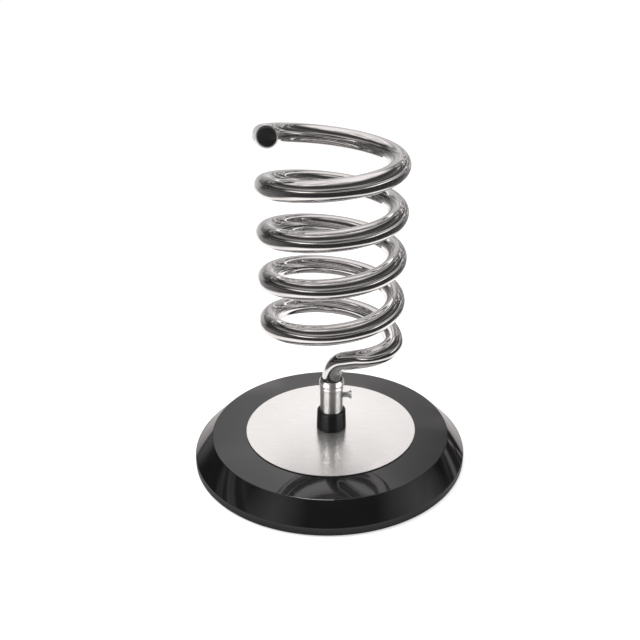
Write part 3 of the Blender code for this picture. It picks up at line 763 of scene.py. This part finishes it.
# Inside the base a disc of sand cast iron keeps the stand from tipping. A zinc plated bolt
# with two washers clamps it, and holds the post by the tapped plug in the sleeve's foot.
IRON = (0.09, 0.09, 0.095)
IRON_SHADES = ((0.06, 0.06, 0.063), (0.13, 0.125, 0.12))


def cast_iron():
    """Iron as it comes out of the sand, dark and rough."""
    material, shader, spot = start_material("sand_cast_iron", IRON, roughness=0.7, metallic=0.8)
    tint(material, grain(material, spot, frequency=120), shader, IRON_SHADES)
    roughen(material, grain(material, spot, frequency=300), shader, low=0.6, high=0.85)
    relief(material, grain(material, spot, frequency=700, detail=5), shader, height=0.15 * MM)
    return material


for name in ("centre_bolt", "flat_washer", "lock_washer", "anchor_plug"):
    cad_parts[name].material_slots[0].material = zinc
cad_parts["ballast_disc"].material_slots[0].material = cast_iron()


# The stand is on a white table, which fades to pure white in the picture. The metal sees it as
# a painted pool of light that ends a little way round the stand, with a painted shadow under the
# base. Its angles are in degrees from the back, clockwise seen from above.
TABLE_FRONT = -1.0
TABLE_BACK = 4.0
TABLE_HALF_WIDTH = 1.2
TABLE_TO_CAMERA = 0.5
TABLE_WHITE = (0.9, 0.9, 0.9)
WARMTH = (1.05, 1.0, 0.99)
POOL_EDGE = (
    (-180, 0.19), (-150, 0.23), (-120, 0.29), (-90, 0.25), (-60, 0.27), (-45, 0.36), (-35, 0.7),
    (-20, 1), (18, 1), (30, 0.42), (45, 0.32), (70, 0.27), (90, 0.22), (112, 0.18), (140, 0.19),
    (180, 0.19))
POOL_NEAR = (
    (-180, 1), (-130, 1), (-90, 0.85), (-60, 0.9), (-40, 1.05), (-10, 1.15), (15, 1.15),
    (40, 1.15), (70, 1.1), (100, 0.95), (140, 0.95), (180, 1))
POOL_FAR = (
    (-180, 0.025), (-120, 0.03), (-105, 0.06), (-85, 0.1), (-60, 0.12), (-45, 0.2), (-30, 0.45),
    (-15, 0.9), (8, 0.9), (14, 0.4), (20, 0.25), (35, 0.08), (60, 0.03), (90, 0.025), (180, 0.025))
POOL_FADE = ((-2, 0.3), (0.6, 1), (0.85, 1), (1.2, 0), (2, 0))
BASE_SHADE = ((-1, 0.2), (0.118, 0.25), (0.128, 0.6), (0.145, 1), (1, 1))


def computed(tree, operation, *values):
    """A Math node on values that are each a socket or a number."""
    node = tree.nodes.new("ShaderNodeMath")
    node.operation = operation
    for socket, value in zip(node.inputs, values):
        if isinstance(value, float):
            socket.default_value = value
        else:
            tree.links.new(value, socket)
    return node.outputs["Value"]


def greys(tree, value, stops):
    """A ramp of greys. Its last stop is at the value's reach, and its first at minus that."""
    nodes, links = tree.nodes, tree.links
    reach = stops[-1][0]
    to_share = nodes.new("ShaderNodeMapRange")
    to_share.inputs["From Min"].default_value = -reach
    to_share.inputs["From Max"].default_value = reach
    ramp = nodes.new("ShaderNodeValToRGB")
    while len(ramp.color_ramp.elements) < len(stops):
        ramp.color_ramp.elements.new(0.5)
    for element, (place, shade) in zip(ramp.color_ramp.elements, stops):
        element.position = (place / reach + 1) / 2
        element.color = (shade, shade, shade, 1)
    links.new(value, to_share.inputs["Value"])
    links.new(to_share.outputs["Result"], ramp.inputs["Fac"])
    return ramp.outputs["Color"]


def blended(tree, how, factor, first, second):
    """A blend of two colours, each of them a socket, a colour or a grey."""
    mix = tree.nodes.new("ShaderNodeMix")
    mix.data_type = "RGBA"
    mix.blend_type = how
    for socket, value in (("Factor", factor), ("A", first), ("B", second)):
        if isinstance(value, tuple):
            mix.inputs[socket].default_value = (*value, 1)
        elif isinstance(value, float):
            mix.inputs[socket].default_value = value if socket == "Factor" else (value, value, value, 1)
        else:
            tree.links.new(value, mix.inputs[socket])
    return mix.outputs["Result"]


def round_the_room(tree, side, stops):
    """A ramp of greys over angles in degrees, for an angle in radians."""
    return greys(tree, side, [(radians(angle), shade) for angle, shade in stops])


table_mesh = bmesh.new()
table_corners = [
    (-TABLE_HALF_WIDTH, TABLE_FRONT), (TABLE_HALF_WIDTH, TABLE_FRONT),
    (TABLE_HALF_WIDTH, TABLE_BACK), (-TABLE_HALF_WIDTH, TABLE_BACK)]
table_mesh.faces.new([table_mesh.verts.new((x, y, 0)) for x, y in table_corners])
table_top = bpy.data.materials.new("white_table_top")
table_top.use_nodes = True
table_tree = table_top.node_tree
table_tree.nodes.remove(table_tree.nodes["Principled BSDF"])
table_spot = table_tree.nodes.new("ShaderNodeTexCoord").outputs["Object"]
table_place = table_tree.nodes.new("ShaderNodeSeparateXYZ")
table_tree.links.new(table_spot, table_place.inputs["Vector"])
table_ray = table_tree.nodes.new("ShaderNodeLightPath")
laminate = table_tree.nodes.new("ShaderNodeBsdfDiffuse")
laminate.inputs["Color"].default_value = (*TABLE_WHITE, 1)
glow = table_tree.nodes.new("ShaderNodeEmission")
glow_to_camera = blended(
    table_tree, "MULTIPLY", 1.0, table_ray.outputs["Is Camera Ray"], TABLE_TO_CAMERA)
table_tree.links.new(glow_to_camera, glow.inputs["Color"])
lit_table = table_tree.nodes.new("ShaderNodeAddShader")
table_tree.links.new(laminate.outputs["BSDF"], lit_table.inputs[0])
table_tree.links.new(glow.outputs["Emission"], lit_table.inputs[1])
from_centre = table_tree.nodes.new("ShaderNodeVectorMath")
from_centre.operation = "LENGTH"
table_tree.links.new(table_spot, from_centre.inputs[0])
reach = from_centre.outputs["Value"]
side = computed(table_tree, "ARCTAN2", table_place.outputs["X"], table_place.outputs["Y"])
share = computed(table_tree, "DIVIDE", reach, round_the_room(table_tree, side, POOL_EDGE))
# For the metal the table glows with a painted pool of light, bright near the stand and dim far off.
pool_glow = blended(
    table_tree, "MIX", greys(table_tree, share, POOL_FADE),
    round_the_room(table_tree, side, POOL_FAR), round_the_room(table_tree, side, POOL_NEAR))
# A painted shadow of the base darkens the pool close round it.
pool_glow = blended(table_tree, "MULTIPLY", 1.0, pool_glow, greys(table_tree, reach, BASE_SHADE))
pool_glow = blended(table_tree, "MULTIPLY", 1.0, pool_glow, WARMTH)
pool = table_tree.nodes.new("ShaderNodeEmission")
table_tree.links.new(pool_glow, pool.inputs["Color"])
for_metal = table_tree.nodes.new("ShaderNodeMixShader")
table_tree.links.new(table_ray.outputs["Is Glossy Ray"], for_metal.inputs["Fac"])
table_tree.links.new(lit_table.outputs["Shader"], for_metal.inputs[1])
table_tree.links.new(pool.outputs["Emission"], for_metal.inputs[2])
table_tree.links.new(for_metal.outputs["Shader"], table_tree.nodes["Material Output"].inputs["Surface"])
table = new_piece("white_table", table_mesh, table_top)

# Two soft boxes light the whole stand, a wide one overhead and one from the left. The metal
# mirrors the studio's walls in their place.
STAND = (0, 0, 0.1)
POST = (0, 0, 0.05)
BASE = (0, 0, 0.023)


def soft_box(name, place, size, power, target, lit=(), spread=180):
    """A rectangular lamp, which lights the whole scene or only the pieces named as lit."""
    lamp_data = bpy.data.lights.new(name, "AREA")
    lamp_data.shape = "RECTANGLE"
    lamp_data.size, lamp_data.size_y = size
    lamp_data.energy = power
    lamp_data.spread = radians(spread)
    lamp = bpy.data.objects.new(name, lamp_data)
    lamp.location = place
    lamp.rotation_euler = (Vector(target) - Vector(place)).to_track_quat("-Z", "Y").to_euler()
    lamp.visible_camera = False
    if lit:
        receivers = bpy.data.collections.new(f"lit_by_{name}")
        for piece in lit:
            receivers.objects.link(piece)
        lamp.light_linking.receiver_collection = receivers
    else:
        lamp.visible_glossy = False
    bpy.context.collection.objects.link(lamp)


soft_box("overhead_box", place=(-0.15, 0.1, 1.25), size=(1.1, 0.9), power=5.5, target=STAND)
soft_box("left_box", place=(-1.1, -0.2, 0.7), size=(0.7, 0.9), power=4.0, target=STAND)

# The other lamps are flagged off, so that each lights one or two pieces. Two strips beside the
# camera draw the upright highlights on the post, and a panel behind brightens the brushed disc.
soft_box(
    "left_strip", place=(-0.69, -0.58, 0.15), size=(0.85, 0.25), power=5.9, target=POST,
    lit=(sleeve, socket))
soft_box(
    "right_strip", place=(0.81, -0.39, 0.15), size=(0.85, 0.25), power=6.0, target=POST,
    lit=(sleeve, socket))
soft_box(
    "disc_panel", place=(0.05, 1.35, 0.78), size=(1.3, 0.6), power=1.9, target=BASE, lit=(trim,))

# A lamp above draws the thin line along the black shell's front edge. Three with narrow beams
# draw soft sheens on it, on the left of its flat top and left and right along its bevel.
soft_box(
    "edge_lamp", place=(-0.15, 0, 1.3), size=(0.8, 0.35), power=9.0, target=BASE, lit=(shell,))
soft_box(
    "flat_sheen", place=(-0.13, 1.21, 0.9), size=(1.6, 1.6), power=0.32, target=BASE,
    lit=(shell,), spread=48)
soft_box(
    "left_sheen", place=(-0.72, -0.5, 0.84), size=(1.1, 1.1), power=0.075, target=BASE,
    lit=(shell,), spread=42)
soft_box(
    "right_sheen", place=(1.0, -0.27, 0.62), size=(1.5, 1.5), power=0.36, target=BASE,
    lit=(shell,), spread=60)

# The room that the metal mirrors. A white ceiling comes down furthest at the back left. The dim
# streaked walls have a thin bright line near the horizon, a soft panel at the back and small
# windows mostly to the right of it. What metal shows of other metal is dimmer.
AMBIENT = 0.6
ZENITH = 90.0
CEILING_EDGE = (
    (-180, 72), (-150, 70), (-130, 66), (-112, 60), (-98, 54), (-80, 54), (-60, 48), (-45, 45),
    (-30, 41), (-22, 35), (-12, 35), (-6, 44), (4, 46), (12, 45), (30, 46), (45, 52), (60, 58),
    (75, 62), (95, 65), (120, 66), (140, 68), (160, 73), (180, 72))
CEILING_GLOW = (
    (-180, 0.75), (-120, 0.85), (-95, 0.9), (-60, 0.97), (-30, 0.85), (-14, 0.8), (-6, 0.9),
    (14, 0.9), (40, 0.9), (60, 0.85), (90, 0.75), (130, 0.75), (180, 0.75))
CEILING_STREAKS = ((-180, 1), (-60, 0.9), (-20, 0.5), (0, 0.3), (30, 0.3), (90, 0.8), (180, 1))
CEILING_SOFTNESS = 6
CEILING_FADE = ((-180, 0), (-CEILING_SOFTNESS, 0), (CEILING_SOFTNESS, 1), (180, 1))
SKY_LEFT = (
    (-90, 0.02), (-4, 0.03), (6, 0.035), (12, 0.025), (18, 0.03), (24, 0.1), (31, 0.13),
    (36, 0.04), (46, 0.03), (60, 0.15), (90, 0.25))
SKY_RIGHT = (
    (-90, 0.02), (-8, 0.035), (0, 0.1), (8, 0.15), (14, 0.24), (20, 0.26), (25, 0.16), (29, 0.12),
    (33, 0.18), (37, 0.08), (40, 0.025), (56, 0.025), (64, 0.15), (90, 0.3))
SKY_FRONT = (
    (-90, 0.02), (-30, 0.02), (-16, 0.05), (4, 0.13), (18, 0.19), (26, 0.11), (34, 0.06),
    (54, 0.04), (64, 0.15), (90, 0.3))
LEFT_SHARE = (
    (-180, 0), (-150, 0.1), (-120, 0.5), (-95, 1), (-30, 1), (-12, 0.6), (0, 0), (180, 0))
FRONT_SHARE = ((-180, 1), (-150, 0.9), (-115, 0), (90, 0), (130, 0.5), (160, 1), (180, 1))
LINE_HEIGHT = (
    (-180, -7), (-155, 0), (-130, 4), (-110, 9), (40, 3), (75, 3), (95, 0), (120, -5),
    (145, -9), (180, -7))
LINE_GLOW = (
    (-180, 0.4), (-155, 0.6), (-145, 1.6), (-130, 2), (-115, 1.2), (-100, 0), (50, 0),
    (62, 0.35), (90, 0.9), (100, 1.6), (115, 2), (130, 1.4), (140, 0.5), (180, 0.4))
LINE_WIDTH = 2.6
LINE_FADE = (
    (-180, 0), (-LINE_WIDTH, 0), (-LINE_WIDTH / 2, 1), (LINE_WIDTH / 2, 1), (LINE_WIDTH, 0),
    (180, 0))
BACK_GLOW = (
    (-180, 0), (-45, 0), (-32, 0.1), (-20, 0.22), (-9, 0.4), (-4, 0.56), (-1, 0.72), (8, 0.72),
    (12, 0.56), (16, 0.36), (24, 0.2), (34, 0.1), (45, 0), (180, 0))
BACK_HEIGHTS = ((-90, 1), (0, 0.75), (12, 0.55), (24, 0.8), (34, 0.9), (44, 1), (60, 0.6), (90, 0.6))
BACK_PATCHES = 0.7
CURTAIN = ((-180, 1), (-73, 1), (-62, 0.3), (-45, 0.3), (-36, 1), (180, 1))
LOW_LEFT_SIDES = ((-180, 0), (-55, 0), (-44, 0.28), (-25, 0.42), (-10, 0.3), (0, 0), (180, 0))
LOW_LEFT_HEIGHTS = ((-90, 1), (5, 1), (12, 0), (90, 0))
WINDOW_SIDES = (
    (-180, 0), (-75, 0), (-55, 0.15), (-25, 0.4), (13, 0.3), (20, 1), (52, 1), (64, 0), (180, 0))
WINDOW_HEIGHTS = ((-90, 0), (-14, 0), (-8, 0.6), (8, 0.8), (36, 1), (44, 0), (90, 0))
WINDOW_SIZE = (6, 6, 18)
WINDOW_PANES = ((-1, 1), (0.2, 1), (0.3, 0), (1, 0))
STREAK_SIZE = (0.7, 0.7, 13)
STREAK_DETAIL = 1.0
STREAK_LEVELS = ((-1, 0), (0.38, 0.1), (0.47, 0.4), (0.54, 1.4), (0.6, 3.2), (1, 4))
STREAK_HEIGHTS = ((-90, 0.5), (-10, 0.6), (0, 1), (30, 1), (37, 0.25), (90, 0.25))
PATCH_SIZE = (3, 3, 9)
PATCH_LEVELS = ((-1, 0.45), (0.38, 0.55), (0.5, 0.95), (0.6, 1.15), (1, 1.15))
SECOND_MIRROR = 0.42
PAST_ONE_MIRROR = 1.5

world = bpy.data.worlds.new("studio")
bpy.context.scene.world = world
world.use_nodes = True
room_tree = world.node_tree
outward_view = room_tree.nodes.new("ShaderNodeTexCoord").outputs["Generated"]
direction = room_tree.nodes.new("ShaderNodeSeparateXYZ")
room_tree.links.new(outward_view, direction.inputs["Vector"])
compass = computed(room_tree, "ARCTAN2", direction.outputs["X"], direction.outputs["Y"])
elevation = computed(room_tree, "DEGREES", computed(room_tree, "ARCSINE", direction.outputs["Z"]))


def by_height(stops):
    """A ramp of greys over degrees above the horizon."""
    return greys(room_tree, elevation, stops)


def by_compass(stops):
    """A ramp of greys over degrees from the back, clockwise seen from above."""
    return round_the_room(room_tree, compass, stops)


def above(heights):
    """How many degrees a direction is above a line whose height changes round the room."""
    line = by_compass([(angle, (height + ZENITH) / (2 * ZENITH)) for angle, height in heights])
    line_height = computed(room_tree, "MULTIPLY_ADD", line, 2 * ZENITH, -ZENITH)
    return computed(room_tree, "SUBTRACT", elevation, line_height)


def both(how, first, second):
    """Two colours blended in full."""
    return blended(room_tree, how, 1.0, first, second)


def patterned(texture, size):
    """A texture over the directions, with its own size across, along and up the room."""
    mapping = room_tree.nodes.new("ShaderNodeMapping")
    mapping.inputs["Scale"].default_value = size
    texture.inputs["Scale"].default_value = 1.0
    room_tree.links.new(outward_view, mapping.inputs["Vector"])
    room_tree.links.new(mapping.outputs["Vector"], texture.inputs["Vector"])
    return texture


streak_noise = patterned(room_tree.nodes.new("ShaderNodeTexNoise"), STREAK_SIZE)
streak_noise.inputs["Detail"].default_value = STREAK_DETAIL
streaks = greys(room_tree, streak_noise.outputs["Fac"], STREAK_LEVELS)
streaks = blended(room_tree, "MIX", by_height(STREAK_HEIGHTS), 1.0, streaks)
patch_noise = patterned(room_tree.nodes.new("ShaderNodeTexNoise"), PATCH_SIZE)
patches = greys(room_tree, patch_noise.outputs["Fac"], PATCH_LEVELS)
pane_grid = patterned(room_tree.nodes.new("ShaderNodeTexVoronoi"), WINDOW_SIZE)
pane_grid.distance = "CHEBYCHEV"
windows = greys(room_tree, pane_grid.outputs["Distance"], WINDOW_PANES)
windows = both("MULTIPLY", windows, by_compass(WINDOW_SIDES))
windows = both("MULTIPLY", windows, by_height(WINDOW_HEIGHTS))
room = blended(room_tree, "MIX", by_compass(LEFT_SHARE), by_height(SKY_RIGHT), by_height(SKY_LEFT))
room = blended(room_tree, "MIX", by_compass(FRONT_SHARE), room, by_height(SKY_FRONT))
room = both("ADD", both("MULTIPLY", room, streaks), windows)
room = both("MULTIPLY", room, by_compass(CURTAIN))
thin_line = greys(room_tree, above(LINE_HEIGHT), LINE_FADE)
room = both("LIGHTEN", room, both("MULTIPLY", thin_line, by_compass(LINE_GLOW)))
ceiling = greys(room_tree, above(CEILING_EDGE), CEILING_FADE)
ceiling = both("MULTIPLY", ceiling, by_compass(CEILING_GLOW))
ceiling = blended(room_tree, "MULTIPLY", by_compass(CEILING_STREAKS), ceiling, patches)
room = both("LIGHTEN", room, ceiling)
back_panel = blended(room_tree, "MULTIPLY", BACK_PATCHES, by_compass(BACK_GLOW), patches)
back_panel = both("MULTIPLY", back_panel, by_height(BACK_HEIGHTS))
room = both("LIGHTEN", room, back_panel)
low_left = both("MULTIPLY", by_compass(LOW_LEFT_SIDES), by_height(LOW_LEFT_HEIGHTS))
room = both("LIGHTEN", room, low_left)
room = both("MULTIPLY", room, WARMTH)
room_ray = room_tree.nodes.new("ShaderNodeLightPath")
mirrored_twice = computed(room_tree, "GREATER_THAN", room_ray.outputs["Glossy Depth"], PAST_ONE_MIRROR)
room = blended(room_tree, "MIX", mirrored_twice, room, both("MULTIPLY", room, SECOND_MIRROR))
seen_by_metal = blended(room_tree, "MIX", room_ray.outputs["Is Glossy Ray"], AMBIENT, room)
seen_by_camera = blended(room_tree, "MIX", room_ray.outputs["Is Camera Ray"], seen_by_metal, 1.0)
room_tree.links.new(seen_by_camera, room_tree.nodes["Background"].inputs["Color"])
bpy.context.scene.view_settings.view_transform = "Standard"
